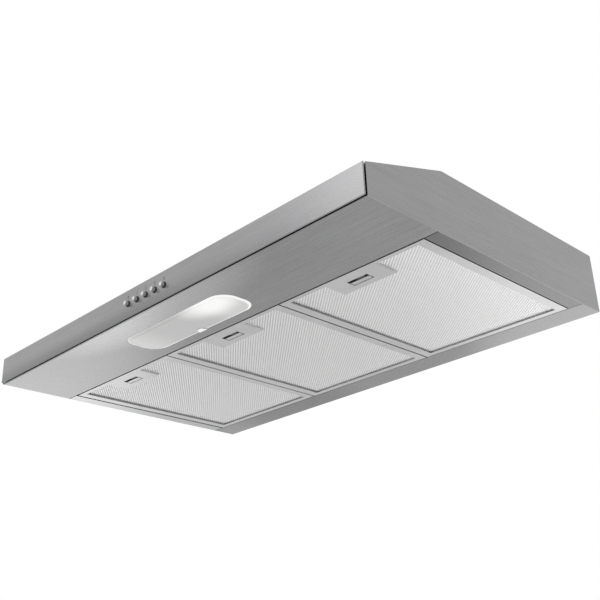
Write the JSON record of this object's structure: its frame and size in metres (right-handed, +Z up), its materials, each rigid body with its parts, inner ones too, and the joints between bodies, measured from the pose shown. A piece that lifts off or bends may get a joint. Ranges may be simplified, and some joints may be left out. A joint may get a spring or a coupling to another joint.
{
  "type": "under cabinet range hood",
  "caption": "Slim wedge-fronted range hood with push buttons, a lamp and drop-down mesh grease filters below, and a blower that exhausts through a round duct collar on top.",
  "frame": {"origin": "centre of the four cabinet screw holes, on the top face of the deck", "axes": "+X across the width to the right as seen from the front, +Y from the front face to the rear, +Z up"},
  "size_m": [0.762, 0.476, 0.132],
  "materials": {
    "stainless": "brushed",
    "galvanised": "dull zinc",
    "button_metal": "polished",
    "black_plastic": "matt",
    "grey_plastic": "matt",
    "white_plastic": "matt",
    "lens_plastic": "frosted",
    "white_enamel": "gloss",
    "porcelain": "glazed",
    "bulb_glass": "opal",
    "filter_aluminium": "satin",
    "spring_steel": "bright",
    "screw_steel": "zinc",
    "motor_paint": "satin",
    "core_steel": "dull",
    "copper": "enamelled",
    "bronze": "sintered"
  },
  "bodies": {
    "hood": {"front_shell": "stainless", "left_end_panel": "stainless", "right_end_panel": "stainless", "rear_panel": "stainless", "lamp_panel": "stainless", "front_fascia": "stainless", "top_deck": "galvanised", "duct_collar": "galvanised", "motor_plate": "galvanised", "capacitor_strap": "galvanised", "terminal_box": "galvanised", "terminal_cover": "galvanised", "button_bushes": "black_plastic", "switch_block": "black_plastic", "small_screws": "screw_steel", "deck_screws": "screw_steel", "lamp_tray": "white_enamel", "lamp_holder": "porcelain", "lamp_bulb": "bulb_glass", "lens_clips": "spring_steel", "fan_scroll": "grey_plastic", "inlet_ring": "grey_plastic", "inlet_guard": "black_plastic", "motor_case": "motor_paint", "motor_bearings": "bronze", "stator_core": "core_steel", "stator_windings": "copper", "collar_rivets": "filter_aluminium", "flap_pin": "spring_steel", "terminal_block": "white_plastic", "capacitor": "white_plastic", "wiring_loom": "black_plastic", "lead_clips": "white_plastic"},
    "push_button_1": {"button_1": "button_metal"},
    "push_button_2": {"button_2": "button_metal"},
    "push_button_3": {"button_3": "button_metal"},
    "push_button_4": {"button_4": "button_metal"},
    "push_button_5": {"button_5": "button_metal"},
    "filter_left": {"filter_frame_left": "filter_aluminium", "filter_mesh_left": "filter_aluminium", "filter_core_left": "filter_aluminium", "catch_plate_left": "filter_aluminium"},
    "catch_left": {"catch_slide_left": "spring_steel"},
    "filter_middle": {"filter_frame_middle": "filter_aluminium", "filter_mesh_middle": "filter_aluminium", "filter_core_middle": "filter_aluminium", "catch_plate_middle": "filter_aluminium"},
    "catch_middle": {"catch_slide_middle": "spring_steel"},
    "filter_right": {"filter_frame_right": "filter_aluminium", "filter_mesh_right": "filter_aluminium", "filter_core_right": "filter_aluminium", "catch_plate_right": "filter_aluminium"},
    "catch_right": {"catch_slide_right": "spring_steel"},
    "fan_rotor": {"impeller": "grey_plastic", "impeller_nut": "screw_steel", "motor_shaft": "spring_steel", "rotor_core": "core_steel"},
    "front_flap": {"front_damper_flap": "filter_aluminium"},
    "rear_flap": {"rear_damper_flap": "filter_aluminium"},
    "lens": {"lamp_lens": "lens_plastic"}
  },
  "joints": [
    {"name": "button_1_press", "type": "slide", "parent": "hood", "child": "push_button_1", "axis": [0, 1, 0], "range_m": [0, 0.0035], "stiffness_N_per_m": 800},
    {"name": "button_2_press", "type": "slide", "parent": "hood", "child": "push_button_2", "axis": [0, 1, 0], "range_m": [0, 0.0035], "stiffness_N_per_m": 800},
    {"name": "button_3_press", "type": "slide", "parent": "hood", "child": "push_button_3", "axis": [0, 1, 0], "range_m": [0, 0.0035], "stiffness_N_per_m": 800},
    {"name": "button_4_press", "type": "slide", "parent": "hood", "child": "push_button_4", "axis": [0, 1, 0], "range_m": [0, 0.0035], "stiffness_N_per_m": 800},
    {"name": "button_5_press", "type": "slide", "parent": "hood", "child": "push_button_5", "axis": [0, 1, 0], "range_m": [0, 0.0035], "stiffness_N_per_m": 800},
    {"name": "filter_left_drop", "type": "hinge", "parent": "hood", "child": "filter_left", "pos_m": [-0.2392, 0.125, -0.083], "axis": [1, 0, 0], "range_deg": [0, 65]},
    {"name": "catch_left_slide", "type": "slide", "parent": "filter_left", "child": "catch_left", "axis": [0, -1, 0], "range_m": [0, 0.005]},
    {"name": "filter_middle_drop", "type": "hinge", "parent": "hood", "child": "filter_middle", "pos_m": [0, 0.125, -0.083], "axis": [1, 0, 0], "range_deg": [0, 65]},
    {"name": "catch_middle_slide", "type": "slide", "parent": "filter_middle", "child": "catch_middle", "axis": [0, -1, 0], "range_m": [0, 0.005]},
    {"name": "filter_right_drop", "type": "hinge", "parent": "hood", "child": "filter_right", "pos_m": [0.2392, 0.125, -0.083], "axis": [1, 0, 0], "range_deg": [0, 65]},
    {"name": "catch_right_slide", "type": "slide", "parent": "filter_right", "child": "catch_right", "axis": [0, -1, 0], "range_m": [0, 0.005]},
    {"name": "fan_spin", "type": "hinge", "parent": "hood", "child": "fan_rotor", "pos_m": [-0.2066, 0.0027, -0.0369], "axis": [0, 0, 1], "continuous": true},
    {"name": "front_flap_lift", "type": "hinge", "parent": "hood", "child": "front_flap", "pos_m": [0, 0.0437, 0.0056], "axis": [-1, 0, 0], "range_deg": [0, 75]},
    {"name": "rear_flap_lift", "type": "hinge", "parent": "hood", "child": "rear_flap", "pos_m": [0, 0.0437, 0.0056], "axis": [1, 0, 0], "range_deg": [0, 75]},
    {"name": "lens_pull", "type": "slide", "parent": "hood", "child": "lens", "axis": [0, 0, -1], "range_m": [0, 0.045]}
  ]
}
